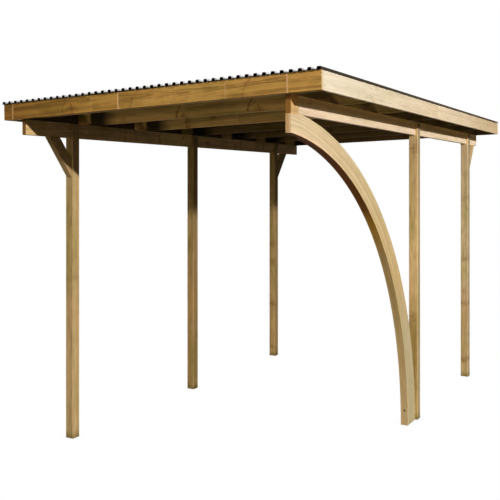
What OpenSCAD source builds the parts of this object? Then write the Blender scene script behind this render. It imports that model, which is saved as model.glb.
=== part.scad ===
// Single carport in pressure-treated pine: five notched posts, two beams, one
// curved brace in place of the front right post, three knee braces, seven
// joists inside four fascia boards, and three trapezoidal roof sheets.
// Millimetres. X runs to the right, Y from the entrance to the back, Z up.
// The origin lies on the ground under the middle of the roof.

/* [Roof outline] */
// Width over the outer faces of the two side fascias
roof_w = 3085; // [2600:5:3600]
// Length over the outer faces of the front and back fascias
roof_l = 5350; // [4900:10:6200]
// Height of the joists' underside at the middle of the roof
deck_h = 2995; // [2300:5:3300]
// Fall of the roof to the left, in degrees
roof_fall = 1.45; // [0:0.05:3]

/* [Posts] */
// Side of the square posts
post_w = 90; // [80:1:140]
// Arris taken off the posts' long edges
post_arris = 4; // [1:0.5:8]
// Roof edge to the centre line of the left posts
over_left = 188; // [120:1:300]
// Roof edge to the centre line of the right posts
over_right = 285; // [120:1:400]
// Front edge of the roof to the front left post's centre
left_front = 660; // [500:5:900]
// Back edge of the roof to the back left post's centre
left_back = 710; // [500:5:900]
// Front edge of the roof to the centre of the arch's post
right_front = 2855; // [2500:5:3000]
// Back edge of the roof to the back right post's centre
right_back = 505; // [450:5:900]
// Gap between a post's cheeks and the joists' underside
cheek_gap = 12; // [5:1:30]

/* [Beams] */
// Thickness of the two beams
beam_t = 42; // [35:1:60]
// Height of the two beams on their centre lines
beam_h = 135; // [110:1:180]
// Front edge of the roof to the beams' front ends
beam_front = 57; // [35:1:90]
// Back edge of the roof to the beams' back ends
beam_back = 35; // [30:1:90]
// Play on each side of a beam in its post notch
notch_play = 0.5; // [0.2:0.1:1]
// Arris taken off the lower edges of the beams
beam_arris = 3; // [1:0.5:6]

/* [Arch] */
// Thickness of the laminated arch, flush with the beam's outer face
arch_t = 72; // [60:1:90]
// Length of the arch's head that is thinned inside to the beam's thickness
arch_lap = 240; // [190:5:320]
// Depth of the arch's foot in front of its post
arch_foot = 230; // [180:1:280]
// Depth of the arch's front end under the beam
arch_head = 137; // [100:1:180]
// Length of the arch's flat seat under the beam
arch_seat = 190; // [150:1:300]
// Height of the arch's flat seat against its post
arch_stand = 150; // [100:1:400]
// Diameter of the sunk bolt hole in the arch's foot
foot_bore_d = 24; // [14:1:34]
// Depth of the sunk bolt hole
foot_bore_depth = 35; // [15:1:60]
// Height of the sunk bolt hole above the ground
foot_bore_h = 146; // [80:1:240]

/* [Knee braces] */
// Thickness of the knee braces
brace_t = 60; // [30:1:80]
// Width of the knee braces across their length
brace_w = 102; // [60:1:120]
// Distance from the post's face to the brace's far corner at the beam
brace_run = 280; // [250:5:330]
// Distance from the beam's underside to the brace's lowest corner
brace_drop = 370; // [330:2:450]

/* [Joists] */
// Thickness of the joists
joist_t = 45; // [35:1:60]
// Height of the joists and the fascia boards
joist_h = 140; // [110:1:180]
// Arris taken off the long edges of joists and fascia boards
board_arris = 3; // [1:0.5:6]

/* [Fascia] */
// Thickness of the fascia boards
fascia_t = 28; // [18:1:34]

/* [Roof sheets] */
// Overhang of the sheets past the front and back fascia
sheet_over = 15; // [5:1:40]
// Flat lip of the outer sheets past their last rib
sheet_lip = 6; // [3:1:20]
// Thickness of the sheets
sheet_t = 1.5; // [1:0.1:3]
// Distance from rib to rib, before the ribs are shared out over the roof's width
rib_pitch = 71; // [60:1:80]
// Height of a rib
rib_h = 20; // [12:1:26]
// Width of a rib's flat crest
rib_crest = 25; // [20:1:32]
// Width of one sloping side of a rib
rib_side = 5; // [3:0.5:10]

/* [Hidden] */
$fn = 96;

// Extra length of a cutting tool past the face that it cuts
cut = 10;

// Colours of the treated pine and of the sheets, pale above and black below
pine = [0.78, 0.66, 0.44];
pine_pale = [0.88, 0.78, 0.58];
pine_dark = [0.60, 0.49, 0.30];
sheet_grey = [0.62, 0.63, 0.64];

// Edges of the roof and the two post lines
front_y = -roof_l / 2;
back_y = roof_l / 2;
left_x = -roof_w / 2 + over_left;
right_x = roof_w / 2 - over_right;
front_left_y = front_y + left_front;
back_left_y = back_y - left_back;
middle_left_y = (front_left_y + back_left_y) / 2;
middle_right_y = front_y + right_front;
back_right_y = back_y - right_back;

// Sideways shift that keeps the tilted sheets' edges centred on the origin
deck_shift = (joist_h + sheet_t / 2) * sin(roof_fall);
// Height of the joists' underside over a given x
function deck_z(x) = deck_h + (x - deck_shift) * tan(roof_fall);
// Height of the underside of the beam on a given post line
function beam_z(x) = deck_z(x) - beam_h;

// The arch stands before the first right post and carries the right beam's front end
arch_top = beam_z(right_x);
arch_out = right_x + beam_t / 2;
arch_in = arch_out - arch_t;
arch_post_face = middle_right_y - post_w / 2;
arch_front = front_y + beam_front;
// The round underside stands upright on the ground and ends at the arch's head
arch_span = arch_post_face - arch_foot - arch_front;
arch_rise = arch_top - arch_head;
arch_r = (pow(arch_span, 2) + pow(arch_rise, 2)) / (2 * arch_span);
arch_cy = arch_front + arch_span - arch_r;
// The round back runs from the top of one flat seat to the end of the other
back_a = arch_post_face - arch_cy;
back_b = arch_front + arch_seat - arch_cy;
arch_back_cz = -(pow(back_a, 2) + pow(arch_stand, 2) - pow(back_b, 2) - pow(arch_top, 2))
             / (2 * (arch_top - arch_stand));
arch_back_r = norm([back_a, arch_stand - arch_back_cz]);

// Slope and length of a knee brace's long edges
brace_len = norm([brace_run, brace_drop]);
brace_top = brace_w * brace_len / brace_drop;
brace_foot = brace_w * brace_len / brace_run;

// Seven joists; the first and last stand against the front and back fascia
joist_n = 7;
joist_first = front_y + fascia_t + joist_t / 2;
joist_step = (roof_l - 2 * fascia_t - joist_t) / (joist_n - 1);

// Ribs from one side fascia's middle to the other's, shared out over three lapped sheets
rib_span = roof_w - fascia_t;
rib_n = round(rib_span / rib_pitch) + 1;
rib_step = rib_span / (rib_n - 1);
// Half the width of a rib at its foot
rib_half = rib_crest / 2 + rib_side;
sheet_l = roof_l + 2 * sheet_over;
lap_rib = [0, floor(rib_n / 3), floor(2 * rib_n / 3), rib_n - 1];
// Reach of a lapped sheet's edge past the last rib's foot
lap_tail = (rib_step - 2 * rib_half) / 2;
// Play between two lapped sheets
lap_play = 0.3;

// Rectangle with its four corners cut off, centred on the origin
module arris_rect(w, h, c) {
    polygon([[-w / 2 + c, -h / 2], [w / 2 - c, -h / 2], [w / 2, -h / 2 + c], [w / 2, h / 2 - c],
             [w / 2 - c, h / 2], [-w / 2 + c, h / 2], [-w / 2, h / 2 - c], [-w / 2, -h / 2 + c]]);
}

// Square post whose top is notched for the beam, with a cheek on each side
module post(x, y) {
    top = deck_z(x - post_w / 2) - cheek_gap;
    color(pine)
    difference() {
        translate([x, y, 0])
            linear_extrude(top) arris_rect(post_w, post_w, post_arris);
        translate([x - beam_t / 2 - notch_play, y - post_w / 2 - cut, beam_z(x)])
            cube([beam_t + 2 * notch_play, post_w + 2 * cut, beam_h + cut]);
    }
}

// Level beam along Y whose top follows the fall of the roof
module beam(x) {
    low = beam_z(x);
    color(pine)
    translate([0, back_y - beam_back, 0])
    rotate([90, 0, 0])
    linear_extrude(roof_l - beam_front - beam_back)
        polygon([[x - beam_t / 2 + beam_arris, low], [x + beam_t / 2 - beam_arris, low],
                 [x + beam_t / 2, low + beam_arris], [x + beam_t / 2, deck_z(x + beam_t / 2)],
                 [x - beam_t / 2, deck_z(x - beam_t / 2)], [x - beam_t / 2, low + beam_arris]]);
}

// Round disc with its axis along X, from the arch's inner face to its outer face
module arch_disc(y, z, r, past) {
    translate([arch_in - past, y, z])
    rotate([0, 90, 0])
        cylinder(r = r, h = arch_t + 2 * past, $fn = 180);
}

// Laminated arch, cut flat at the ground, the post, the beam and the roof's front
module arch_brace() {
    color(pine_pale)
    difference() {
        intersection() {
            arch_disc(arch_cy, arch_back_cz, arch_back_r, 0);
            translate([arch_in, arch_front, 0])
                cube([arch_t, arch_post_face - arch_front, arch_top]);
        }
        arch_disc(arch_cy, 0, arch_r, cut);
        translate([arch_in - cut, arch_front - cut, -cut])
            cube([arch_t - beam_t + cut, arch_lap + cut, arch_top + 2 * cut]);
        translate([arch_out - arch_t / 2, arch_cy + arch_r - cut, foot_bore_h])
        rotate([-90, 0, 0])
            cylinder(d = foot_bore_d, h = cut + foot_bore_depth, $fn = 48);
    }
}

// Knee brace from a post's face up to the beam; dir is -1 to the front, 1 to the back
module knee_brace(x, y, dir) {
    face = y + dir * post_w / 2;
    top = beam_z(x);
    color(pine)
    translate([x - brace_t / 2, face, top])
    rotate([90, 0, 90])
    linear_extrude(brace_t)
        polygon([[0, -brace_drop], [dir * brace_run, 0],
                 [dir * (brace_run - brace_top), 0], [0, -brace_drop + brace_foot]]);
}

// Places the level roof frame at its height and fall
module on_roof() {
    translate([deck_shift, 0, deck_h])
    rotate([0, -roof_fall, 0])
        children();
}

// Board along X in the roof frame, its underside on the deck
module cross_board(y, t, length) {
    translate([-length / 2, y, joist_h / 2])
    rotate([90, 0, 90])
    linear_extrude(length) arris_rect(t, joist_h, board_arris);
}

// Board along Y in the roof frame, its underside on the deck
module side_board(x, t, length) {
    translate([x, length / 2, joist_h / 2])
    rotate([90, 0, 0])
    linear_extrude(length) arris_rect(t, joist_h, board_arris);
}

// Joist between the side fascias, counted from the front
module joist(i) {
    color(pine_dark)
    on_roof() cross_board(joist_first + (i - 1) * joist_step, joist_t, roof_w - 2 * fascia_t);
}

// Middle of a rib, counted from the left
function rib_x(i) = i * rib_step - rib_span / 2;

// Underside of one rib, from its left foot to its right foot
function rib_line(i, lift) = let (x = rib_x(i))
    [[x - rib_half, lift], [x - rib_crest / 2, lift + rib_h],
     [x + rib_crest / 2, lift + rib_h], [x + rib_half, lift]];

// Underside of a sheet over the ribs a to b, with its two flat edges
function sheet_line(a, b, tail_a, tail_b, lift) = concat(
    [[rib_x(a) - rib_half - tail_a, lift]],
    [for (i = [a : b]) for (p = rib_line(i, lift)) p],
    [[rib_x(b) + rib_half + tail_b, lift]]);

// Trapezoidal sheet as long as the roof, over the ribs a to b
module roof_sheet(a, b, tail_a, tail_b, lift) {
    low = sheet_line(a, b, tail_a, tail_b, lift);
    high = [for (i = [len(low) - 1 : -1 : 0]) low[i] + [0, sheet_t]];
    color(sheet_grey)
    on_roof()
    translate([0, sheet_l / 2, joist_h])
    rotate([90, 0, 0])
    linear_extrude(sheet_l)
        polygon(concat(low, high));
}

module post_front_left() { post(left_x, front_left_y); }
module post_middle_left() { post(left_x, middle_left_y); }
module post_back_left() { post(left_x, back_left_y); }
module post_middle_right() { post(right_x, middle_right_y); }
module post_back_right() { post(right_x, back_right_y); }
module beam_left() { beam(left_x); }
module beam_right() { beam(right_x); }
module brace_front_left() { knee_brace(left_x, front_left_y, -1); }
module brace_back_left() { knee_brace(left_x, back_left_y, 1); }
module brace_back_right() { knee_brace(right_x, back_right_y, 1); }

module fascia_front() {
    color(pine)
    on_roof() cross_board(front_y + fascia_t / 2, fascia_t, roof_w);
}
module fascia_back() {
    color(pine)
    on_roof() cross_board(back_y - fascia_t / 2, fascia_t, roof_w);
}
module fascia_left() {
    color(pine_pale)
    on_roof() side_board(-roof_w / 2 + fascia_t / 2, fascia_t, roof_l - 2 * fascia_t);
}
module fascia_right() {
    color(pine_pale)
    on_roof() side_board(roof_w / 2 - fascia_t / 2, fascia_t, roof_l - 2 * fascia_t);
}

// The outer sheets lie on the joists; the middle one laps over a rib of each
module roof_sheet_left() { roof_sheet(lap_rib[0], lap_rib[1], sheet_lip, lap_tail, 0); }
module roof_sheet_middle() { roof_sheet(lap_rib[1], lap_rib[2], lap_tail, lap_tail, sheet_t + lap_play); }
module roof_sheet_right() { roof_sheet(lap_rib[2], lap_rib[3], lap_tail, sheet_lip, 0); }

post_front_left();
post_middle_left();
post_back_left();
post_middle_right();
post_back_right();
beam_left();
beam_right();
arch_brace();
brace_front_left();
brace_back_left();
brace_back_right();
joist(1);  // joist_1
joist(2);  // joist_2
joist(3);  // joist_3
joist(4);  // joist_4
joist(5);  // joist_5
joist(6);  // joist_6
joist(7);  // joist_7
fascia_front();
fascia_back();
fascia_left();
fascia_right();
roof_sheet_left();
roof_sheet_middle();
roof_sheet_right();
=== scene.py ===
# %% [markdown]
# # A timber carport with one arched brace
# The carport is an open frame of planed, pressure-treated pine under ribbed sheets. Its solids come ready
# made and stay where they are. This lesson gives them camera, light and finishes, and adds the screws and the
# bolt. Loading comes first.

# %% Load the frame
import math

import bpy
from mathutils import Matrix, Vector


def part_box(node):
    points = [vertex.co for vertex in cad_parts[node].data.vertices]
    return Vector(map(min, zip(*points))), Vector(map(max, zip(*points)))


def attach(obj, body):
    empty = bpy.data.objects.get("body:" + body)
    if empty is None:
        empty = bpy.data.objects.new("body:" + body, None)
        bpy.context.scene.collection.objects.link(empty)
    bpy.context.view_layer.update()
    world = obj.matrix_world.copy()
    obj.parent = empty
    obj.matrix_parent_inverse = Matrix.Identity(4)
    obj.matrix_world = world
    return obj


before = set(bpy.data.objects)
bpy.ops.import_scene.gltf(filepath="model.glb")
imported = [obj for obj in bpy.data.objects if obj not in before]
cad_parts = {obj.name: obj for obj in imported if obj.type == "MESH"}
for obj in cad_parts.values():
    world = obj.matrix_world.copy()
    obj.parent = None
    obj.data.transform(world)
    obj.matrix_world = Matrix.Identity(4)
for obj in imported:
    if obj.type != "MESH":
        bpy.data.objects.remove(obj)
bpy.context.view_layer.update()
bpy.ops.object.select_all(action="DESELECT")

# %% [markdown]
# ## Camera
# The view is from just over two metres up, in front of the right corner, and upright lines stay upright. A
# camera that looks level keeps them so, and a lens shift moves the frame down, as on a view camera. Tilting
# the camera instead would make the posts lean.

# %% Camera
CAMERA_PLACE = (3.7235, -7.355, 2.394)
CAMERA_LEVEL = 90
CAMERA_TURN = 30.379
SENSOR = 36
LENS = 54.526
LENS_SHIFT = -0.13204

bpy.ops.object.camera_add(
    location=CAMERA_PLACE, rotation=(math.radians(CAMERA_LEVEL), 0, math.radians(CAMERA_TURN)))
camera = bpy.context.object
camera.name = "camera"
camera.data.sensor_width = SENSOR
camera.data.lens = LENS
camera.data.shift_y = LENS_SHIFT
bpy.context.scene.camera = camera
print("camera at", CAMERA_PLACE, "lens", LENS)

# %% [markdown]
# ## Writing finishes as sums
# A finish is mostly arithmetic: distances from the pith, rings, masks. Wiring every Math node by hand is hard
# to read, so a small class wraps a socket, and ordinary sums on it add the nodes. Every other node comes from
# one method.

# %% A socket that can be reckoned with
class Sock:
    """A socket of a finish that is being written: sums on it add Math nodes."""

    def __init__(self, tree, socket):
        self.tree = tree
        self.socket = socket

    def node(self, kind, settings, sockets, out=0):
        """Any other node: its type, its settings first, then the values or links of its sockets."""
        made = self.tree.nodes.new(kind)
        for key, value in settings.items():
            if key == "stops":
                ramp = made.color_ramp.elements
                while len(ramp) < len(value):
                    ramp.new(1.0)
                for stop, (position, colour) in zip(ramp, value):
                    stop.position = position
                    stop.color = colour
            else:
                setattr(made, key, value)
        for key, value in sockets.items():
            if isinstance(value, Sock):
                self.tree.links.new(value.socket, made.inputs[key])
            else:
                made.inputs[key].default_value = value
        return Sock(self.tree, made.outputs[out]) if made.outputs else None

    def out(self, name):
        """Another output of the same node."""
        return Sock(self.tree, self.socket.node.outputs[name])

    def math(self, operation, *values):
        """A Math node on any values."""
        return self.node("ShaderNodeMath", {"operation": operation}, dict(enumerate(values)))

    def __add__(self, other):
        return self.math("ADD", self, other)

    def __sub__(self, other):
        return self.math("SUBTRACT", self, other)

    def __rsub__(self, other):
        return self.math("SUBTRACT", other, self)

    def __mul__(self, other):
        return self.math("MULTIPLY", self, other)

    def __truediv__(self, other):
        return self.math("DIVIDE", self, other)

    def __gt__(self, other):
        return self.math("GREATER_THAN", self, other)

    def __abs__(self):
        return self.math("ABSOLUTE", self)

    __radd__ = __add__
    __rmul__ = __mul__


def start_nodes(owner, kind, out):
    """An emptied node tree of a material or world, handed over as the output of its first node."""
    owner.use_nodes = True
    owner.node_tree.nodes.clear()
    return Sock(owner.node_tree, owner.node_tree.nodes.new(kind).outputs[out])


print("sums ready:", "+ - * / > abs")

# %% [markdown]
# ## Floor
# The carport stands on a white floor that runs into a white backdrop. A real white floor would throw so much
# light upwards that the roof's underside would glow. So only the camera sees this one: it shines plain white,
# with a faint shade round the feet, and neither bounced light nor shadows take any notice of it.

# %% Floor
FLOOR_SIZE = 240
CONTACT_REACH = 0.12
CONTACT_SHADE = 0.10

bpy.ops.mesh.primitive_plane_add(size=FLOOR_SIZE)
floor = bpy.context.object
floor.name = "floor"
floor.visible_diffuse = False
floor.visible_glossy = False
floor.visible_shadow = False
floor_paint = bpy.data.materials.new("white_floor")
open_sky = start_nodes(floor_paint, "ShaderNodeAmbientOcclusion", "AO")
open_sky.socket.node.inputs["Distance"].default_value = CONTACT_REACH
shine = open_sky.node("ShaderNodeEmission", {}, {"Strength": open_sky * CONTACT_SHADE + (1 - CONTACT_SHADE)})
open_sky.node("ShaderNodeOutputMaterial", {}, {"Surface": shine})
floor.data.materials.append(floor_paint)
print("floor", FLOOR_SIZE, "m square")

# %% [markdown]
# ## Backdrop and bounced light
# The camera sees a white backdrop, but the shaded faces take their light from what stands round about: mostly
# the warm horizon in front, and a little from everywhere. An even sky would flatten the shade under the roof.
# Two soft lobes do better, one warm from in front and one neutral from behind on the left, which the camera's
# side never sees. The warm one fades out below the horizon, so that little of it creeps up under the roof.

# %% Backdrop and bounced light
BOUNCE_SIDE = (0, -1, 0)
BOUNCE_COLOUR = (1.0, 0.86, 0.58, 1)
BOUNCE = 0.54
BELOW = -0.5
FILL_SIDE = (-0.62, 0.75, 0.22)
FILL = 0.35
EVEN = 0.045
WHITE = (1, 1, 1, 1)


def lobe(way, side, strength):
    """Light that is strongest from one side and fades all round it."""
    facing = way.node("ShaderNodeVectorMath", {"operation": "DOT_PRODUCT"}, {0: way, 1: side}, out="Value")
    facing = facing.math("MAXIMUM", facing, 0.0)
    return facing * facing * strength


world = bpy.data.worlds.new("backdrop")
bpy.context.scene.world = world
way = start_nodes(world, "ShaderNodeTexCoord", "Generated")
height = way.node("ShaderNodeSeparateXYZ", {}, {"Vector": way}, out="Z")
above = way.node("ShaderNodeMapRange", {"interpolation_type": "SMOOTHSTEP"},
                 {"Value": height, "From Min": BELOW, "From Max": 0.0})
bounce = way.node("ShaderNodeBackground", {},
                  {"Color": BOUNCE_COLOUR, "Strength": lobe(way, BOUNCE_SIDE, BOUNCE) * above + EVEN})
fill = way.node("ShaderNodeBackground", {}, {"Color": WHITE, "Strength": lobe(way, FILL_SIDE, FILL)})
around = way.node("ShaderNodeAddShader", {}, {0: bounce, 1: fill})
white = way.node("ShaderNodeBackground", {}, {"Color": WHITE, "Strength": 1.0})
seen = way.node("ShaderNodeLightPath", {}, {}, out="Is Camera Ray")
either = way.node("ShaderNodeMixShader", {}, {0: seen, 1: around, 2: white})
way.node("ShaderNodeOutputWorld", {}, {"Surface": either})
bpy.context.scene.view_settings.view_transform = "Standard"
print("bounced light", BOUNCE, "from", BOUNCE_SIDE, "and", FILL, "from", FILL_SIDE)

# %% [markdown]
# ## Light
# A low key light stands to the right and a little in front: it reaches under the roof, leaves the underside
# dark and draws the roof's shadow line along the right beam. A weak, broad light from the front lifts the
# front faces, and one from behind on the left keeps the other sides readable without touching a face that the
# camera sees. Three more lights each serve a few pieces: a softer key for the posts that stand deep under the
# roof, light thrown up from the ground at the entrance for the first joists, and a little of it for the
# shaded half of the right beam. All are sun lamps, because light from far away falls alike on every piece.

# %% Light
LIGHTS = {
    # name: degrees from +X towards the front, degrees above the horizon, strength, width in degrees, colour
    "key_light": (22.3, 16.4, 3.3, 1.0, (1.0, 0.975, 0.94)),
    "deep_light": (38, 14.1, 2.0, 3.0, (1.0, 0.975, 0.92)),
    "ground_light": (55, -38, 0.78, 25, (1.0, 0.86, 0.55)),
    "side_light": (0, -15, 0.15, 30, (1.0, 0.91, 0.65)),
    "front_light": (90, 21, 0.45, 14, (1.0, 0.98, 0.95)),
    "back_light": (212, 24, 1.5, 12, (0.97, 0.98, 1.0)),
}


def hang_lamp(name, azimuth, height, power, width, colour):
    """A lamp that shines evenly from one side, however far away."""
    level = math.cos(math.radians(height))
    towards = Vector((
        level * math.cos(math.radians(azimuth)),
        -level * math.sin(math.radians(azimuth)),
        math.sin(math.radians(height)),
    ))
    bpy.ops.object.light_add(type="SUN", rotation=towards.to_track_quat("Z", "Y").to_euler())
    lamp = bpy.context.object
    lamp.name = name
    lamp.data.energy = power
    lamp.data.angle = math.radians(width)
    lamp.data.color = colour
    print(name, "shines from", [round(part, 2) for part in towards])
    return lamp


lamps = {name: hang_lamp(name, *settings) for name, settings in LIGHTS.items()}
print("lamps:", len(lamps))

# %% [markdown]
# ## Which pieces a lamp serves
# In a studio, screens keep a lamp off some things. Real ones would show from the other sides, so light
# linking does their work: a lamp is told which pieces it serves or leaves out, and which cast no shadow for
# it.

# %% Which pieces a lamp serves
DEEP_POSTS = ("post_middle_left", "post_back_left", "brace_back_left")
FRONT_JOISTS = ("joist_1", "joist_2", "joist_3")
LINKS = (
    # lamp, what is linked, pieces, whether they count
    ("key_light", "receiver_collection", DEEP_POSTS, "EXCLUDE"),
    ("deep_light", "receiver_collection", DEEP_POSTS, "INCLUDE"),
    ("deep_light", "blocker_collection", ("arch_brace",), "EXCLUDE"),
    ("ground_light", "receiver_collection", FRONT_JOISTS, "INCLUDE"),
    ("side_light", "receiver_collection", ("beam_right",), "INCLUDE"),
)


def group_pieces(name, nodes, state):
    """Pieces that a lamp serves or passes over, as light linking wants them."""
    group = bpy.data.collections.new(name)
    for node in nodes:
        group.objects.link(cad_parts[node])
    for member in group.collection_objects:
        member.light_linking.link_state = state
    return group


for lamp, link, nodes, state in LINKS:
    setattr(lamps[lamp].light_linking, link, group_pieces(f"{lamp}_{link}", nodes, state))
    print(lamp, link, state, nodes)

# %% [markdown]
# ## Soft steps, noise and mixing
# Four helpers do most of the work in every finish below: a soft step makes a mask from a distance, stretched
# noise makes fibres and streaks, noise along a single value makes slow change, and a Mix node lays one colour
# on another.

# %% Soft steps, noise and mixing
def smooth(value, low, high):
    """0 at low and 1 at high, with a soft passage between; low may be the larger one."""
    return value.node("ShaderNodeMapRange", {"interpolation_type": "SMOOTHSTEP"},
                      {"Value": value, "From Min": low, "From Max": high})


def noise(ways, fineness, detail=2.0):
    """Soft noise round one half, with its own fineness along each of three ways."""
    spots = ways[0].node("ShaderNodeCombineXYZ", {},
                         {key: way * fine for key, (way, fine) in enumerate(zip(ways, fineness))})
    return spots.node("ShaderNodeTexNoise", {}, {"Vector": spots, "Scale": 1.0, "Detail": detail})


def drift(value, detail=1.0):
    """Soft noise round one half along a single value."""
    return value.node("ShaderNodeTexNoise", {"noise_dimensions": "1D"},
                      {"W": value, "Scale": 1.0, "Detail": detail})


def mixed(factor, one, two, rule="MIX"):
    """The second colour laid on the first, by the factor, which may be a plain number, and by the rule."""
    maker = factor if isinstance(factor, Sock) else one
    return maker.node("ShaderNodeMix", {"data_type": "RGBA", "blend_type": rule},
                      {0: factor, 6: one, 7: two}, out=2)


def opaque(colour):
    """A colour with the fourth value that sockets ask for."""
    return (*colour, 1.0)


print("helpers ready: smooth, noise, drift, mixed")

# %% [markdown]
# ## Where a finish starts and ends
# Every solid sits at the origin with its place in its mesh, so Object coordinates are the carport's own
# measures, and each finish starts from them. Each ends in one general shader: what changes over the surface
# is linked to it, and what is the same all over is set on its socket.

# %% Where a finish starts and ends
def start_finish(name):
    """A new material, and the place of a point on the carport as its first socket."""
    material = bpy.data.materials.new(name)
    return material, start_nodes(material, "ShaderNodeTexCoord", "Object")


def split(vector):
    """The three measures of a vector, as sockets."""
    parts = vector.node("ShaderNodeSeparateXYZ", {}, {"Vector": vector})
    return parts.out("X"), parts.out("Y"), parts.out("Z")


def relief(height, strength):
    """A surface that rises and falls by a height in metres."""
    return height.node("ShaderNodeBump", {}, {"Height": height, "Distance": 1.0, "Strength": strength})


def end_finish(place, sockets):
    """The shader with what its sockets take, and the material's output."""
    shader = place.node("ShaderNodeBsdfPrincipled", {}, sockets)
    place.node("ShaderNodeOutputMaterial", {}, {"Surface": shader})


print("finishes start from the carport's own measures")

# %% [markdown]
# ## Where a point lies in its board
# Grain follows the board and not the world. A Mapping node of the Texture kind undoes the board's place and
# turn, so that each finish works with three plain measures in metres: along the board, across its width,
# through its thickness.

# %% Where a point lies in its board
def lay_board(node, along, across, size):
    """A board's middle and turn, and half its length, width and thickness."""
    low, high = (Vector(corner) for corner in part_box(node))
    along = Vector(along).normalized()
    across = Vector(across).normalized()
    turn = Matrix((along, across, along.cross(across))).transposed()
    return (low + high) / 2, turn.to_euler(), [measure / 2 for measure in size]


def board_ways(place, board):
    """The three measures of a point in its board, as sockets."""
    middle, turn, _ = board
    return split(place.node("ShaderNodeMapping", {"vector_type": "TEXTURE"},
                            {"Vector": place, "Location": middle, "Rotation": turn}))


print("boards are read along, across and through")

# %% [markdown]
# ## Knots
# A knot is a branch that ran out from the pith. Seen from the pith, branches sit at scattered heights and
# angles, so the scatter is made in those two measures: a Voronoi texture gives each knot its cell, and the
# cell's random colour says how big it is and whether there is one. On a flat-sawn face most branches are cut
# lengthwise and show as a dark, bent line across the grain with a small heart in it, so each knot is drawn as
# both.

# %% Knots
KNOT_CELL = 0.17
KNOT_RUN = KNOT_CELL * 1.9
KNOT_SCATTER = 0.9
KNOT_SMALL = 0.003
KNOT_MORE = 0.007
HEART_RIM = (1.2, 0.6)
STAIN_REACH = (0.085, 0.010)
RAGGED_FINE = (38, 38, 38)
RAGGED_RUN = 0.012
RAGGED_SIDE = 0.006
SPIKE_REACH = (0.050, 0.020)
SPIKE_HALF = (0.008, 0.0024)
SPIKE_BEND = 14.0


def scatter_knots(run, girth, share):
    """Masks of the knots' hearts, of the bent lines across the grain, and of the wide stain round both."""
    spots = run.node("ShaderNodeCombineXYZ", {}, {0: run / KNOT_RUN, 1: girth / KNOT_CELL})
    cell = run.node("ShaderNodeTexVoronoi", {"voronoi_dimensions": "2D"},
                    {"Vector": spots, "Scale": 1.0, "Randomness": KNOT_SCATTER}, out="Color")
    lot = run.node("ShaderNodeSeparateColor", {}, {"Color": cell})
    centre = split(cell.out("Position"))
    held = 1 - (lot.out("Green") > share)
    ragged = noise((run, girth, girth), RAGGED_FINE) - 0.5
    off_run = run - centre[0] * KNOT_RUN + ragged * RAGGED_RUN
    off_side = girth - centre[1] * KNOT_CELL + ragged * RAGGED_SIDE
    radius = lot.out("Red") * KNOT_MORE + KNOT_SMALL
    away = run.math("SQRT", off_run * off_run + off_side * off_side)
    heart = smooth(away, radius * HEART_RIM[0], radius * HEART_RIM[1]) * held
    bend = off_side * off_side * (lot.out("Blue") - 0.5) * SPIKE_BEND + off_side * (lot.out("Red") - 0.5)
    line = smooth(abs(off_run - bend), *SPIKE_HALF) * smooth(abs(off_side), *SPIKE_REACH) * held
    stain = smooth(away, *STAIN_REACH) * held
    return heart, line, stain


print("knots about", KNOT_CELL, "m apart,", KNOT_SMALL, "to", KNOT_SMALL + KNOT_MORE, "m in radius")

# %% [markdown]
# ## Rings
# Sawn pine shows yearly rings cut at a slant, so the finish starts at the pith: the distance from it, with
# some sway along the length, is counted in rings, and each ring darkens towards its late wood. Broad bands of
# several rings give the streaks that show from afar, fibres and blotches lie over them, and knots push the
# rings a little aside.

# %% Rings
RING = 0.0048
LATE_FROM = (0.30, 0.92)
LATE_ENDS = (1.0, 0.94)
BAND_FINE = 0.21
BAND_EDGE = (0.30, 0.70)
KNOT_PUSH = 0.010
GIRTH = 0.07
SEED_RUN = 3.7
STRETCH_RUN = 1.9
STRETCH_SIDE = 0.004
STRETCH_RINGS = 11.3
SWAY_FINE = 0.7
SWAY = 0.07
LEAN_FINE = 0.6
LEAN_START = 40.0
LEAN = 0.025
WAVE_FINE = (2.2, 14, 14)
WAVE = 0.014
FIBRE_FINE = (8, 380, 380)
BLOTCH_FINE = (1.3, 9, 9)
MOTTLE_FINE = (9, 24, 24)


def pine_rings(ways, pith, seed, stretch, share):
    """The wood's own figure, as named masks. Every stretch of a board has its own grain."""
    run = ways[0] + (stretch * STRETCH_RUN + seed * SEED_RUN)
    sway = drift(run * SWAY_FINE) - 0.5
    lean = drift(run * LEAN_FINE + LEAN_START) - 0.5
    side = ways[1] - pith[0] + (sway * SWAY + stretch * STRETCH_SIDE)
    deep = ways[2] - pith[1] + lean * LEAN
    from_pith = side.math("SQRT", side * side + deep * deep)
    girth = deep.math("ARCTAN2", deep, side) * GIRTH
    heart, line, stain = scatter_knots(run, girth, share)
    here = (run, ways[1], ways[2])
    wave = noise(here, WAVE_FINE) - 0.5
    count = (from_pith + stain * KNOT_PUSH + wave * WAVE) / RING + stretch * STRETCH_RINGS
    part = count.math("FRACT", count)
    return {
        "here": here,
        "late": smooth(part, *LATE_FROM) * smooth(part, *LATE_ENDS),
        "bands": smooth(drift(count * BAND_FINE + seed, 2.0), *BAND_EDGE),
        "fibres": noise(here, FIBRE_FINE, 3.0),
        "blotch": noise(here, BLOTCH_FINE),
        "mottle": noise(here, MOTTLE_FINE, 3.0),
        "heart": heart,
        "line": line,
        "stain": stain,
    }


print("rings every", RING, "m")

# %% [markdown]
# ## From figure to colour
# The figure darkens and lightens a board's own tone. Treated pine is never one colour: it turns green where
# it took up more of the salts and pinkish where it took less, and resin stains the wood round a knot. The
# same steps serve straight boards and the arch.

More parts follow.
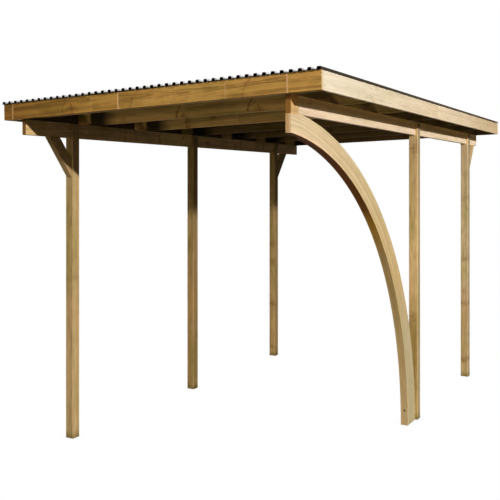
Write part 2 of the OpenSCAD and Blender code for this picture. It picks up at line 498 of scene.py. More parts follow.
# %% From figure to colour
PALE = opaque((1.30, 1.29, 1.26))
DEEP = opaque((0.62, 0.55, 0.44))
EVEN_TONE = 0.44
DARKENING = {
    # mask: the value that changes nothing, how much it darkens
    "bands": (0.5, 0.42),
    "late": (0.3, 0.30),
    "fibres": (0.5, 0.5),
    "blotch": (0.5, 0.9),
    "mottle": (0.5, 0.7),
}
TINGES = (
    # which blotches take it, colour: green where they are dark, pink where they are pale
    ((0.50, 0.68), opaque((0.86, 0.97, 0.72))),
    ((0.50, 0.34), opaque((1.03, 0.94, 0.96))),
)
KNOT_LINE = opaque((0.36, 0.22, 0.12))
KNOT_TONES = (
    # mask, strength, colour, rule
    ("stain", 0.5, opaque((0.76, 0.64, 0.48)), "MULTIPLY"),
    ("line", 0.55, KNOT_LINE, "MULTIPLY"),
    ("heart", 0.7, opaque((0.15, 0.065, 0.025)), "MIX"),
)


def along_tone(where, half_length, tones):
    """Tones that follow each other along a board, each at its distance from the board's middle."""
    stops = [(0.5 + 0.5 * place / half_length, opaque(tone)) for place, tone in tones]
    share = where * (0.5 / half_length) + 0.5
    return where.node("ShaderNodeValToRGB", {"stops": stops if len(stops) > 1 else stops * 2}, {"Fac": share})


def figured(wood, rings, figure, tinge):
    """A tone with the figure of the wood laid over it."""
    dark = sum((rings[mask] - middle) * weight for mask, (middle, weight) in DARKENING.items())
    wood = mixed(1.0, wood, mixed(dark * figure + EVEN_TONE, PALE, DEEP), "MULTIPLY")
    for edge, colour in TINGES:
        wood = mixed(smooth(rings["blotch"], *edge) * tinge, wood, colour, "MULTIPLY")
    for mask, strength, colour, rule in KNOT_TONES:
        wood = mixed(rings[mask] * strength, wood, colour, rule)
    return wood


print("tones are darkened, tinged and stained in that order")

# %% [markdown]
# ## The surface of planed wood
# Planed wood is matt, a little smoother on the hard late wood and on the hearts of knots. Those stand proud
# by less than a millimetre, so they are left to a Bump node: modelled relief would cost millions of faces.

# %% The surface of planed wood
WOOD_ROUGH = 0.58
ROUGHER = {"late": -0.08, "heart": -0.18, "fibres": 0.2}
PROUD = {"late": 0.00016, "fibres": 0.00022, "heart": 0.0004, "line": -0.0003}
WOOD_RELIEF = 0.8
WOOD_SHINE = 0.3


def wood_surface(place, wood, rings, scars):
    """Ends a finish as planed wood: its colour, its roughness and its fine relief."""
    rough = sum(rings[mask] * more for mask, more in ROUGHER.items()) + WOOD_ROUGH
    height = sum(rings[mask] * rise for mask, rise in PROUD.items()) - scars
    end_finish(place, {"Base Color": wood, "Roughness": rough, "Normal": relief(height, WOOD_RELIEF),
                       "Specular IOR Level": WOOD_SHINE})


print("wood is matt and rises", max(PROUD.values()), "m at the knots")

# %% [markdown]
# ## Finger joints and strokes
# Long boards are glued up from shorter stretches. A finger joint shows as a pale line, and behind it a new
# stretch of grain starts. Large branches that were sawn lengthwise cross the whole width as dark strokes.
# Both are seen from afar, so they have their own places instead of being scattered.

# %% Finger joints and strokes
JOINT_HALF = (0.007, 0.0042)
JOINT_LINE = opaque((0.79, 0.47, 0.25))
STROKE_HALF = 0.018
STROKE_BEND = 5.0
STROKE_FINE = (14, 45, 45)
STROKE_WOBBLE = 0.03
STROKE_BREAKS = (0.32, 0.55)


def join_stretches(run, joints):
    """How many joints lie before a point, and a mask of the line at each joint."""
    stretch = 0
    line = 0
    for place, strength in joints:
        stretch = stretch + (run > place)
        line = line + smooth(abs(run - place), *JOINT_HALF) * strength
    return stretch, line


def stroked(wood, ways, here, strokes, half):
    """Wood with dark strokes across it, each with its place, its lean and its strength."""
    ragged = noise(here, STROKE_FINE)
    bend = ways[1] * ways[1] * STROKE_BEND - (ragged - 0.5) * STROKE_WOBBLE
    for place, lean, strength in strokes:
        off_line = abs(ways[0] - place - ways[1] * lean - bend)
        stroke = smooth(off_line, half, 0.0) * smooth(ragged, *STROKE_BREAKS) * strength
        wood = mixed(stroke, wood, KNOT_LINE, "MULTIPLY")
    return wood


print("strokes about", 2 * STROKE_HALF, "m wide")

# %% [markdown]
# ## Wear, checks, ends and damp
# Arrises are paler, partly rubbed and partly a painted highlight, thin drying checks open along the grain,
# sawn ends are darker and show the rings, and posts draw water at the foot. Masks from the board's own
# measures keep each of these in its place.

# %% Wear, checks, ends and damp
ARRIS = (0.012, 0.003)
ARRIS_WEAR_AND_HIGHLIGHT = opaque((1.22, 1.24, 1.3))
LIGHT_WEAR_AND_HIGHLIGHT = 0.45
CHECK_FINE = (1.1, 75, 75)
CHECK_HALF = (0.011, 0.003)
CHECKED_FINE = (0.9, 11, 11)
CHECKED = (0.55, 0.64)
SAWN = (0.0016, 0.0008)
LATE_END = 0.62
DAMP = opaque((0.50, 0.54, 0.40))
DAMP_RISE = 0.085
DAMP_RAGGED = 0.10


def wear_and_light_arrises(wood, ways, half, worn):
    """Wood whose long edges are paler."""
    # paler long edges: partly rubbed wear, partly a painted highlight
    arris = smooth((half[1] - abs(ways[1])) + (half[2] - abs(ways[2])), *ARRIS)
    return mixed(arris * worn, wood, ARRIS_WEAR_AND_HIGHLIGHT, "MULTIPLY")


def find_checks(here):
    """A mask of thin cracks along the grain, in some places only."""
    crack = noise(here, CHECK_FINE, 1.0)
    return smooth(abs(crack - 0.5), *CHECK_HALF) * smooth(noise(here, CHECKED_FINE, 0.0), *CHECKED)


def saw_ends(wood, run, half_length, end, late):
    """Wood with end grain on its two ends."""
    sawn = smooth(abs(run), half_length - SAWN[0], half_length - SAWN[1])
    return mixed(sawn, wood, mixed(late, opaque(end), opaque([part * LATE_END for part in end])))


def wet_foot(wood, run, half_length, blotch):
    """Wood that is darker where it stands on the ground."""
    wet = smooth(run + half_length + (blotch - 0.5) * DAMP_RAGGED, DAMP_RISE, 0.0)
    return mixed(wet, wood, DAMP, "MULTIPLY")


print("damp rises", DAMP_RISE, "m")

# %% [markdown]
# ## A pine board
# A straight board puts these together: its tones along the length, its figure, then what its making and its
# life leave on it. Over that, one face of a board can carry painted light or painted shade that the rest
# doesn't, and its upper half can carry painted shade.

# %% A pine board
FIRST_FACE = (0.008, 0.001)
FACE_CHANGE = (-0.8, -0.1)
SHADED_TOP_EDGE = (-0.025, 0.03)
TINGE = 0.7
CHECK = opaque((0.10, 0.055, 0.025))
CHECK_DARK = 0.7
CHECK_DEPTH = 0.0012
JOINT_DEPTH = 0.0003
BROWN_END = (0.30, 0.17, 0.05)


def pine(name, board, tones, pith, seed, knots, figure=1.0, joints=(), end=BROWN_END, foot=False,
         sides=None, shaded_top=None, strokes=(), stroke_half=STROKE_HALF, worn=LIGHT_WEAR_AND_HIGHLIGHT):
    """A board's finish; returns its material. Sides are painted light and shade: the tones of its first face,
    late and early along it, and of the rest. The tone for its upper half is painted shade."""
    material, place = start_finish(name)
    ways = board_ways(place, board)
    half = board[2]
    stretch, line = join_stretches(ways[0], joints)
    rings = pine_rings(ways, pith, seed, stretch, knots)
    calm = min(figure, 1.0)
    wood = figured(along_tone(ways[0], half[0], tones), rings, figure, TINGE * calm)
    if sides:
        upper, lower, rest = (opaque(side) for side in sides)
        # painted light or shade on the board's first face, against the rest
        painted_face_mask = smooth(ways[2], FIRST_FACE[0] - half[2], FIRST_FACE[1] - half[2])
        face = mixed(smooth(ways[0], *FACE_CHANGE), lower, upper)
        wood = mixed(1.0, wood, mixed(painted_face_mask, rest, face), "MULTIPLY")
    if shaded_top:
        # painted shade on the board's upper half
        wood = mixed(smooth(ways[1], *SHADED_TOP_EDGE), wood, opaque(shaded_top), "MULTIPLY")
    if strokes:
        wood = stroked(wood, ways, rings["here"], strokes, stroke_half)
    if joints:
        wood = mixed(line, wood, JOINT_LINE)
    wood = wear_and_light_arrises(wood, ways, half, worn)
    check = find_checks(rings["here"])
    wood = mixed(check * (CHECK_DARK * calm * calm), wood, CHECK)
    wood = saw_ends(wood, ways[0], half[0], end, rings["late"])
    if foot:
        wood = wet_foot(wood, ways[0], half[0], rings["blotch"])
    wood_surface(place, wood, rings, check * CHECK_DEPTH + line * JOINT_DEPTH)
    return material


def dress(node, material):
    """Puts a finish on a solid that stays as it is."""
    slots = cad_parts[node].data.materials
    slots.clear()
    slots.append(material)


print("pine finish ready")

# %% [markdown]
# ## Posts
# The five posts are planed square timber, tan with a green tinge. The pith lies just outside each of them, in
# a different place every time, so no two look alike. Their feet are darker, and two of them have soft dark
# smudges, for which wide strokes serve. The two right posts carry painted light on their front sides, most
# of it high up, and the middle left one painted shade on its front side.

# %% Posts
POST = 0.090
POST_KNOTS = 0.2
POST_FIGURE = 0.9
POST_SMUDGE = 0.055
UP = (0, 0, 1)
RIGHT = (1, 0, 0)
BACK = (0, 1, 0)
PLAIN = (1, 1, 1)
# painted shade on the middle left post's front side
SHADED_FRONT = (0.86, 0.85, 0.8)
POST_TONES = {
    # node: tone, pith across and through, seed, tones of the front side high up and low down, and of the
    # rest, which paint light and shade
    "post_front_left": ((0.47, 0.335, 0.165), (0.02, 0.085), 1.0, None),
    "post_middle_left": ((0.45, 0.31, 0.135), (-0.03, 0.08), 2.0, (SHADED_FRONT, SHADED_FRONT, PLAIN)),
    "post_back_left": ((0.41, 0.285, 0.118), (0.03, 0.075), 3.0, None),
    # the right posts' front sides carry painted light, most of it high up
    "post_middle_right": ((0.42, 0.325, 0.195), (0.0, 0.10), 4.0,
                          ((1.9, 1.76, 1.42), (1.1, 0.98, 0.55), PLAIN)),
    "post_back_right": ((0.375, 0.30, 0.185), (-0.02, 0.08), 5.0,
                        ((2.15, 2.06, 2.0), (1.55, 1.4, 1.1), PLAIN)),
}
POST_SMUDGES = {
    # node: place along it, lean and strength of each
    "post_front_left": ((0.02, 0.3, 0.22),),
    "post_back_right": ((-1.30, 0.2, 0.55), (-0.60, 0.1, 0.5), (-0.05, 0.3, 0.45), (0.70, 0.2, 0.3)),
}
for node, (tone, pith, seed, sides) in POST_TONES.items():
    low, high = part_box(node)
    board = lay_board(node, UP, RIGHT, (high[2] - low[2], POST, POST))
    dress(node, pine("pine_" + node, board, [(0, tone)], pith, seed, POST_KNOTS, POST_FIGURE, foot=True,
                     sides=sides, strokes=POST_SMUDGES.get(node, ()), stroke_half=POST_SMUDGE))
print("posts dressed:", len(POST_TONES))

# %% [markdown]
# ## Beams
# Each beam runs the length of the roof. Its front end stays bare, so the end grain has to be right: rings
# round the pith, stained an orange brown by the treatment. The right one starts with a short honey-coloured
# stretch and goes on paler; the left one has a stretch of olive wood before its middle post, and a few dark
# strokes.

# %% Beams
BEAM = (5.258, 0.137, 0.042)
BEAM_KNOTS = 0.3
HONEY = (0.70, 0.45, 0.22)
CREAM = (0.77, 0.625, 0.465)
FAR_CREAM = (0.82, 0.685, 0.525)
# the next two tones are a lit and a shaded copy of one tone: painted light on the left beam's front stretch,
# where the sun falls, and painted shade on the rest
SUNLIT_TAN = (0.66, 0.47, 0.23)
SHADY = (0.76, 0.54, 0.32)
OLIVE = (0.94, 0.74, 0.38)
BEAM_TONES = {
    # node: tones along it, pith, seed, figure, joints, end grain, painted shade on its upper half, strokes
    "beam_left": (
        [(-2.40, SUNLIT_TAN), (-2.36, SHADY), (-0.71, SHADY), (-0.70, OLIVE), (-0.07, OLIVE), (-0.06, SHADY)],
        (0.03, 0.055), 6.0, 0.9, ((-0.70, 0.0), (-0.06, 0.0)), (0.25, 0.125, 0.024), None,
        ((-1.29, 0.2, 0.5), (-0.70, 0.0, 0.9), (1.02, 0.0, 0.6), (1.62, 0.0, 0.6))),
    # the right beam's upper half gets a warm painted shade, where the roof's shadow lies on it
    "beam_right": (
        [(-2.52, HONEY), (-2.50, CREAM), (2.6, FAR_CREAM)],
        (-0.02, -0.06), 7.0, 0.55, ((-2.51, 0.2),), (0.33, 0.147, 0.022), (1.05, 0.84, 0.5), ()),
}
for node, (tones, pith, seed, figure, joints, end, shaded_top, strokes) in BEAM_TONES.items():
    board = lay_board(node, BACK, UP, BEAM)
    dress(node, pine("pine_" + node, board, tones, pith, seed, BEAM_KNOTS, figure, joints, end, shaded_top=shaded_top,
                     strokes=strokes))
print("beams dressed:", len(BEAM_TONES))

# %% [markdown]
# ## Knee braces
# The three short braces are cut from the same timber as the posts. Their grain has to run along the slope,
# because with upright grain they would look like blocks cut out of a plank. So their two ways are built from
# the distance that a brace runs and the height that it drops.

# %% Knee braces
BRACE_RUN = 0.280
BRACE_DROP = 0.370
BRACE = (0.46, 0.102, 0.060)
BRACE_PITH = (0.02, 0.06)
BRACE_KNOTS = 0.3
BRACES = {
    # node: -1 leans to the front and 1 to the back, tone, seed
    "brace_front_left": (-1, (0.44, 0.31, 0.15), 8.0),
    "brace_back_left": (1, (0.40, 0.28, 0.13), 9.0),
    "brace_back_right": (1, (0.50, 0.37, 0.19), 10.0),
}
for node, (lean, tone, seed) in BRACES.items():
    board = lay_board(node, (0, lean * BRACE_RUN, BRACE_DROP), (0, lean * BRACE_DROP, -BRACE_RUN), BRACE)
    dress(node, pine("pine_" + node, board, [(0, tone)], BRACE_PITH, seed, BRACE_KNOTS))
print("braces dressed:", len(BRACES))

# %% [markdown]
# ## Joists
# Seven joists cross the frame under the sheets. They are the roughest boards, an olive brown with long
# strokes where branches were cut. Painted shade makes them almost black just inside the left beam and darker
# towards the right end, and painted light keeps their ends outside the left beam pale; the joists from the
# fourth back and the upper half of every joist carry painted shade too. The roof falls a little to the left,
# so their grain is turned by the same small angle.

# %% Joists
FALL = math.radians(1.45)
DOWN_FALL = (math.cos(FALL), 0, math.sin(FALL))
ROOF_UP = (-math.sin(FALL), 0, math.cos(FALL))
JOIST = (3.029, 0.140, 0.045)
JOIST_COUNT = 7
JOIST_SEED = 10.0
JOIST_KNOTS = 0.3
PITH_ACROSS = (0.02, -0.01)
PITH_DEEP = (0.05, 0.005)
JOIST_TONE = (0.47, 0.32, 0.130)
# painted shade on every joist's upper half
JOIST_SHADED_TOP = (0.70, 0.69, 0.66)
# place along a joist, share of its tone: painted light on the ends outside the left beam, painted shade just
# inside it and at the right end
LIT_AND_SHADED_STRETCHES = ((-1.375, 1.4), (-1.345, 0.05), (-1.20, 0.05), (-1.02, 0.92), (1.2, 0.95), (1.3, 0.55))
# painted shade: the joists from the fourth back are darker all along
SHADED_FROM = 4
DEEP_SHADE = 0.7
JOIST_STROKES = {2: ((-0.31, 0.5, 0.9), (0.44, 0.5, 0.8)), 3: ((-0.83, 0.2, 0.8), (0.62, -0.4, 0.6))}
JOIST_JOINTS = {3: ((-0.21, 0.35),), 5: ((0.4, 0.2),)}
for number in range(1, JOIST_COUNT + 1):
    node = f"joist_{number}"
    board = lay_board(node, DOWN_FALL, ROOF_UP, JOIST)
    pith = (PITH_ACROSS[0] + PITH_ACROSS[1] * (number % 3), PITH_DEEP[0] + PITH_DEEP[1] * number)
    depth = DEEP_SHADE if number >= SHADED_FROM else 1.0
    tones = [(place, [part * share * depth for part in JOIST_TONE]) for place, share in LIT_AND_SHADED_STRETCHES]
    dress(node, pine("pine_" + node, board, tones, pith, JOIST_SEED + number, JOIST_KNOTS, shaded_top=JOIST_SHADED_TOP,
                     joints=JOIST_JOINTS.get(number, ()), strokes=JOIST_STROKES.get(number, ())))
print("joists dressed:", JOIST_COUNT)

# %% [markdown]
# ## Fascia boards
# The boards round the roof are the part that is seen first. The front one is a golden brown, glued up
# lengthwise from shorter stretches: each finger joint shows as a pale upright line where grain and tone
# change. The side boards are smooth, with a joint or two, and painted almost cream: painted light, for the
# strong light that falls on the right one. The left one carries painted shade on its inside.

# %% Fascia boards
FRONT_BOARD = (3.085, 0.140, 0.028)
SIDE_BOARD = (5.294, 0.140, 0.028)
FRONT_JOINTS = ((-1.436, 0.6), (-0.530, 0.2), (-0.244, 0.9), (0.767, 0.25), (1.278, 0.8))
FRONT_STROKES = ((-0.84, 0.3, 0.35), (-0.10, 0.6, 0.45), (0.30, -0.3, 0.25), (0.93, 0.6, 0.45))
FRONT_TONES = [(-1.54, (0.243, 0.120, 0.0185)), (-0.5, (0.355, 0.20, 0.041)), (0.4, (0.48, 0.29, 0.074)),
               (1.0, (0.44, 0.255, 0.062)), (1.54, (0.50, 0.284, 0.072))]
BACK_TONES = [(-1.5, (0.44, 0.25, 0.07)), (1.5, (0.48, 0.27, 0.07))]
# painted light: both side boards are painted paler and creamier than the front one, for the strong light on
# the right side
CREAM_LIT_SIDE_TONES = [(-2.6, (0.88, 0.80, 0.66)), (-0.02, (0.78, 0.65, 0.47)), (0.04, (0.82, 0.70, 0.53)),
              (2.6, (0.59, 0.455, 0.285))]
PALE_END = (0.92, 0.70, 0.42)
# painted shade on the inside of the left board
SHADE_INSIDE = (0.09, 0.07, 0.06)
# the fascia boards' paler arrises carry more painted highlight
FASCIA_WEAR_AND_HIGHLIGHT = 0.8
FASCIAS = {
    # node: way along it, size, tones, pith, seed, knots, figure, joints, tones of its sides (painted shade),
    # strokes
    "fascia_front": (DOWN_FALL, FRONT_BOARD, FRONT_TONES, (0.03, 0.07), 21.0, 0.2, 1.65, FRONT_JOINTS,
                     None, FRONT_STROKES),
    "fascia_back": (DOWN_FALL, FRONT_BOARD, BACK_TONES, (-0.02, -0.06), 22.0, 0.3, 1.0,
                    ((-0.9, 0.7), (0.35, 0.6)), None, ((-0.4, 0.3, 0.4), (0.9, -0.4, 0.4))),
    "fascia_left": (BACK, SIDE_BOARD, CREAM_LIT_SIDE_TONES, (0.02, 0.06), 23.0, 0.1, 0.4, ((-1.2, 0.2), (0.4, 0.2)),
                    (PLAIN, PLAIN, SHADE_INSIDE), ()),
    "fascia_right": (BACK, SIDE_BOARD, CREAM_LIT_SIDE_TONES, (-0.03, -0.07), 24.0, 0.1, 0.4, ((0.01, 0.2),),
                     None, ()),
}
for node, (along, size, tones, pith, seed, knots, figure, joints, sides, strokes) in FASCIAS.items():
    board = lay_board(node, along, ROOF_UP, size)
    dress(node, pine("pine_" + node, board, tones, pith, seed, knots, figure, joints, PALE_END,
                     sides=sides, strokes=strokes, worn=FASCIA_WEAR_AND_HIGHLIGHT))
print("fascia boards dressed:", len(FASCIAS))

# %% [markdown]
# ## Round the arch's centre
# The arch is glued up from bent strips, so its grain and its thin glue lines follow the curve. Measuring
# round the centre of its underside turns the curve into a straight board: along the arc, outwards through the
# strips, and across.

# %% Round the arch's centre
ARCH_CENTRE = (1.2425, -2.8603, 0.0)
ARCH_RADIUS = 2.7653
HALF_ARC = ARCH_RADIUS * math.pi / 4


def arch_ways(place):
    """Along the arc from its middle, across, outwards from the underside, and straight back."""
    across, back, up = split(place.node("ShaderNodeMapping", {"vector_type": "TEXTURE"},
                                        {"Vector": place, "Location": ARCH_CENTRE}))
    arc = up.math("ARCTAN2", up, back) * ARCH_RADIUS - HALF_ARC
    depth = back.math("SQRT", back * back + up * up) - ARCH_RADIUS
    return arc, across, depth, back


print("half of the arc is", round(HALF_ARC, 3), "m long")

# %% [markdown]
# ## The laminated arch
# Each strip has its own grain. The underside is a board of its own, pale in its lower half; towards the head
# it turns redder, partly its own tone and partly a painted reddish bounce, and darker, which is painted
# shade.
# The sawn front end has a darker core. Where the head is thinned to the beam, the sawn step is stained dark.
# The tones follow the arc, as they follow a straight board.

# %% The laminated arch
STRIP = 0.046
ARCH_PITH = (0.01, 0.06)
ARCH_SEED = 30.0
ARCH_KNOTS = 0.12
ARCH_FIGURE = 0.6
ARCH_TINGE = 0.3
ARCH_TONES = [(-2.17, (0.48, 0.41, 0.24)), (-1.3, (0.53, 0.45, 0.285)), (-0.7, (0.57, 0.43, 0.21)),
              (0.7, (0.68, 0.55, 0.33)), (2.17, (0.80, 0.65, 0.44))]
# towards the head these tones are painted shade, and partly a painted reddish bounce
UNDER_TONES_AND_SHADE = [(-2.17, (0.57, 0.43, 0.235)), (-0.34, (0.64, 0.45, 0.21)), (0.12, (0.76, 0.43, 0.065)),
               (0.41, (0.52, 0.205, 0.05)), (2.17, (0.48, 0.195, 0.085))]
UNDERSIDE = (0.004, 0.0015)
GLUE = opaque((0.62, 0.52, 0.38))
GLUE_HALF = (0.0012, 0.0004)
GLUE_FROM = (0.002, 0.004)
GLUE_DARK = 0.8
GLUE_DEPTH = 0.0003
ARCH_END = opaque((0.76, 0.54, 0.30))
ARCH_CORE = opaque((0.60, 0.38, 0.18))
CORE_MIDDLE = 0.006
CORE_HALF = (0.020, 0.010)
FRONT_CUT = -2.618 - ARCH_CENTRE[1]
FRONT_SKIN = (0.0020, 0.0008)
STEP_CUT = FRONT_CUT + 0.240
STEP_SKIN = (0.0020, 0.0012)
STEP_SIDE = (-0.005, -0.007)
STEP_STAIN = opaque((0.22, 0.15, 0.10))


def laminated(name):
    """The arch's finish; returns its material."""
    material, place = start_finish(name)
    arc, across, depth, back = arch_ways(place)
    strip = depth.math("FLOOR", depth / STRIP)
    inside = depth - strip * STRIP - STRIP / 2
    rings = pine_rings((arc, across, inside), ARCH_PITH, ARCH_SEED, strip, ARCH_KNOTS)
    wood = mixed(smooth(depth, *UNDERSIDE), along_tone(arc, HALF_ARC, ARCH_TONES),
                 along_tone(arc, HALF_ARC, UNDER_TONES_AND_SHADE))
    wood = figured(wood, rings, ARCH_FIGURE, ARCH_TINGE)
    line = smooth(STRIP / 2 - abs(inside), *GLUE_HALF) * smooth(depth, *GLUE_FROM)
    wood = mixed(line * GLUE_DARK, wood, GLUE, "MULTIPLY")
    core = smooth(abs(across - CORE_MIDDLE), *CORE_HALF)
    wood = mixed(smooth(back - FRONT_CUT, *FRONT_SKIN), wood, mixed(core, ARCH_END, ARCH_CORE))
    step = smooth(abs(back - STEP_CUT), *STEP_SKIN) * smooth(across, *STEP_SIDE)
    wood = mixed(step, wood, STEP_STAIN, "MULTIPLY")
    wood_surface(place, wood, rings, line * GLUE_DEPTH)
    return material


dress("arch_brace", laminated("laminated_pine"))
print("arch dressed, strips", STRIP, "m thick")

# %% [markdown]
# ## Roof sheets
# The sheets are pale grey above and black below and at their cut ends, so from the front they show as a row
# of dark teeth with light between them. The way a face points tells the two apart, because a formed sheet has
# no other mark: whatever looks upwards is pale, except the outermost flanks, which carry a dark brown painted
# shadow that fades towards the back. Fine grit, dust that rain has drawn along the ribs and grime at their
# feet keep both sides from looking flat.

# %% Roof sheets
SHEETS = ("roof_sheet_left", "roof_sheet_middle", "roof_sheet_right")
SHEET_PALE = opaque((0.60, 0.62, 0.65))
SHEET_DUST = opaque((0.42, 0.42, 0.40))
SHEET_GRIME = opaque((0.16, 0.14, 0.13))
SHEET_BLACK = opaque((0.008, 0.008, 0.009))
SHEET_GRIT = opaque((0.022, 0.021, 0.021))
# painted shadow along the outermost flanks, darker at the front and fading towards the back
SHEET_EDGE_SHADOW = opaque((0.045, 0.032, 0.020))
FADED_EDGE_SHADOW = opaque((0.110, 0.080, 0.056))
DECK_SHIFT = 0.00356
DECK_HEIGHT = 2.995
RIB_GRIME = (0.157, 0.147)
LEVEL_GRIME = 0.25
SLOPE_GRIME = 0.65
EDGE_SHADOW_FROM = (1.522, 1.530)
EDGE_SHADOW_FADES = (-2.6, 2.6)
GRIT_FINE = (900, 900, 900)
GRITTY = (0.55, 0.75)
GRIT_SHARE = 0.6
GRIT_HEIGHT = 0.0002
GRIT_RELIEF = 0.5
DUST_FINE = (1.2, 22, 22)
DUSTY = (0.45, 0.75)
DUST_ROUGH = 0.2
SHEET_ROUGH = 0.45
SHEET_SHINE = 0.35
# how far upwards a face looks: where pale begins, where slopes begin, and where an edge counts as upright
PALE_FROM = (0.06, 0.12)
SLOPES = (0.97, 0.85)
UPRIGHT = (-0.1, 0.0)


def two_sided_sheet(name):
    """The sheets' finish; returns its material."""
    material, place = start_finish(name)
    across, back, rise = split(place.node("ShaderNodeMapping", {"vector_type": "TEXTURE"}, {
        "Vector": place, "Location": (DECK_SHIFT, 0, DECK_HEIGHT), "Rotation": (0, -FALL, 0)}))
    upwards = split(place.node("ShaderNodeNewGeometry", {}, {}, out="True Normal"))[2]
    grit = noise((back, across, rise), GRIT_FINE)
    dust = noise((back, across, rise), DUST_FINE, 4.0)
    pale = mixed(smooth(dust, *DUSTY), SHEET_PALE, SHEET_DUST)
    grime = smooth(rise, *RIB_GRIME) * (smooth(upwards, *SLOPES) * SLOPE_GRIME + LEVEL_GRIME)
    pale = mixed(grime, pale, SHEET_GRIME)
    black = mixed(smooth(grit, *GRITTY) * GRIT_SHARE, SHEET_BLACK, SHEET_GRIT)
    coat = mixed(smooth(upwards, *PALE_FROM), black, pale)
    # painted shadow: the outermost flanks go dark brown
    edge = mixed(smooth(back, *EDGE_SHADOW_FADES), SHEET_EDGE_SHADOW, FADED_EDGE_SHADOW)
    coat = mixed(smooth(abs(across), *EDGE_SHADOW_FROM) * smooth(upwards, *UPRIGHT), coat, edge)
    end_finish(place, {"Base Color": coat, "Roughness": dust * DUST_ROUGH + SHEET_ROUGH,
                       "Normal": relief(grit * GRIT_HEIGHT, GRIT_RELIEF), "Specular IOR Level": SHEET_SHINE})
    return material


sheet_finish = two_sided_sheet("two_sided_sheet")
for node in SHEETS:
    dress(node, sheet_finish)
print("sheets dressed:", len(SHEETS))

# %% [markdown]
# ## A screw head
# The frame is held by screws. Their heads are small, but they tell a built thing from a block. One head is
# modelled from a cylinder and copied: faces are picked by the way they look, the top is inset and pulled up
# into a grip, and a second inset sinks the drive. A boolean for the drive would leave far more faces on
# something so small.

# %% A screw head
# radius, thickness of the flange, radius of the grip, height of the grip
FLANGED_HEAD = (0.008, 0.0018, 0.0050, 0.0022)
FLAT_HEAD = (0.0040, 0.0006, 0.0036, 0.0004)
# shares of the flange, of the grip's radius and of its height
FLANGE_RISE = 0.2
GRIP_EDGE = (0.14, 0.12)
DRIVE_WALL = 0.36
DRIVE_DEPTH = 0.7
LOOKS_UP = 0.9


def pick_faces(piece, rule):
    """Goes into edit mode with only those faces of a piece selected that follow a rule."""
    bpy.ops.object.mode_set(mode="EDIT")
    bpy.ops.mesh.select_mode(type="FACE")
    bpy.ops.mesh.select_all(action="DESELECT")
    bpy.ops.object.mode_set(mode="OBJECT")
    for face in piece.data.polygons:
        face.select = rule(face)
    bpy.ops.object.mode_set(mode="EDIT")


def model_head(name, radius, flange, grip, tall, sides=12):
    """A screw head that points up: a flange, a grip with its edge taken off, and a sunk drive."""
    bpy.ops.object.select_all(action="DESELECT")
    bpy.ops.mesh.primitive_cylinder_add(
        vertices=sides, radius=radius, depth=flange, location=(0, 0, flange / 2))
    head = bpy.context.object
    head.name = name
    bpy.ops.object.transform_apply(location=True, rotation=True, scale=True)
    pick_faces(head, lambda face: face.normal.z > LOOKS_UP)
    bpy.ops.mesh.inset(thickness=radius - grip, depth=flange * FLANGE_RISE)
    bpy.ops.mesh.extrude_region_move(TRANSFORM_OT_translate={"value": (0, 0, tall)})
    bpy.ops.mesh.inset(thickness=grip * GRIP_EDGE[0], depth=tall * GRIP_EDGE[1])
    bpy.ops.mesh.inset(thickness=grip * DRIVE_WALL)
    bpy.ops.mesh.extrude_region_move(TRANSFORM_OT_translate={"value": (0, 0, -tall * DRIVE_DEPTH)})
    bpy.ops.object.mode_set(mode="OBJECT")
    return head


flanged_head = model_head("flanged_head", *FLANGED_HEAD)
flat_head = model_head("flat_head", *FLAT_HEAD)
print("heads modelled with", len(flanged_head.data.polygons), "faces")

# %% [markdown]
# ## Zinc and brown coat
# Zinc is grey with a soft bloom and turns dull brown in the damp; the small screws have a brown coat that
# hides them in the wood. Noise about as coarse as a head mottles both, so that no two heads look the same.

# %% Zinc and brown coat
ZINC_BRIGHT = opaque((0.52, 0.52, 0.50))
ZINC_DULL = opaque((0.33, 0.33, 0.32))
ZINC_BROWN = opaque((0.20, 0.14, 0.08))
BLOOM_FINE = (260, 260, 260)
BLOOM = (0.35, 0.65)
RUST_FINE = (70, 70, 70)
RUST = (0.45, 0.7)
RUST_SHARE = 0.6
ZINC_ROUGH = 0.3
ZINC_METAL = 0.8
COAT_BROWN = opaque((0.26, 0.16, 0.07))
COAT_WORN = opaque((0.36, 0.25, 0.13))
WORN_FINE = (180, 180, 180)
WORN = (0.4, 0.7)
COAT_ROUGH = 0.4
MOTTLED_ROUGH = 0.3


def zinc(name):
    """The finish of the large heads; returns its material."""
    material, place = start_finish(name)
    ways = split(place)
    bloom = noise(ways, BLOOM_FINE)
    coat = mixed(smooth(bloom, *BLOOM), ZINC_BRIGHT, ZINC_DULL)
    coat = mixed(smooth(noise(ways, RUST_FINE, 3.0), *RUST) * RUST_SHARE, coat, ZINC_BROWN)
    end_finish(place, {"Base Color": coat, "Roughness": bloom * MOTTLED_ROUGH + ZINC_ROUGH,
                       "Metallic": ZINC_METAL})
    return material


def brown_coat(name):
    """The finish of the small heads; returns its material."""
    material, place = start_finish(name)
    worn = noise(split(place), WORN_FINE, 3.0)
    coat = mixed(smooth(worn, *WORN), COAT_BROWN, COAT_WORN)
    end_finish(place, {"Base Color": coat, "Roughness": worn * MOTTLED_ROUGH + COAT_ROUGH})
    return material


zinc_finish = zinc("zinc")
brown_finish = brown_coat("brown_coat")
print("finishes of the heads:", zinc_finish.name, brown_finish.name)

# %% [markdown]
# ## Setting the heads out
# Copies of a head are set out by matrices, joined into one mesh for each group, and ride with the frame.
# Their place then goes into the mesh, so that the group sits at the origin as the solids do.

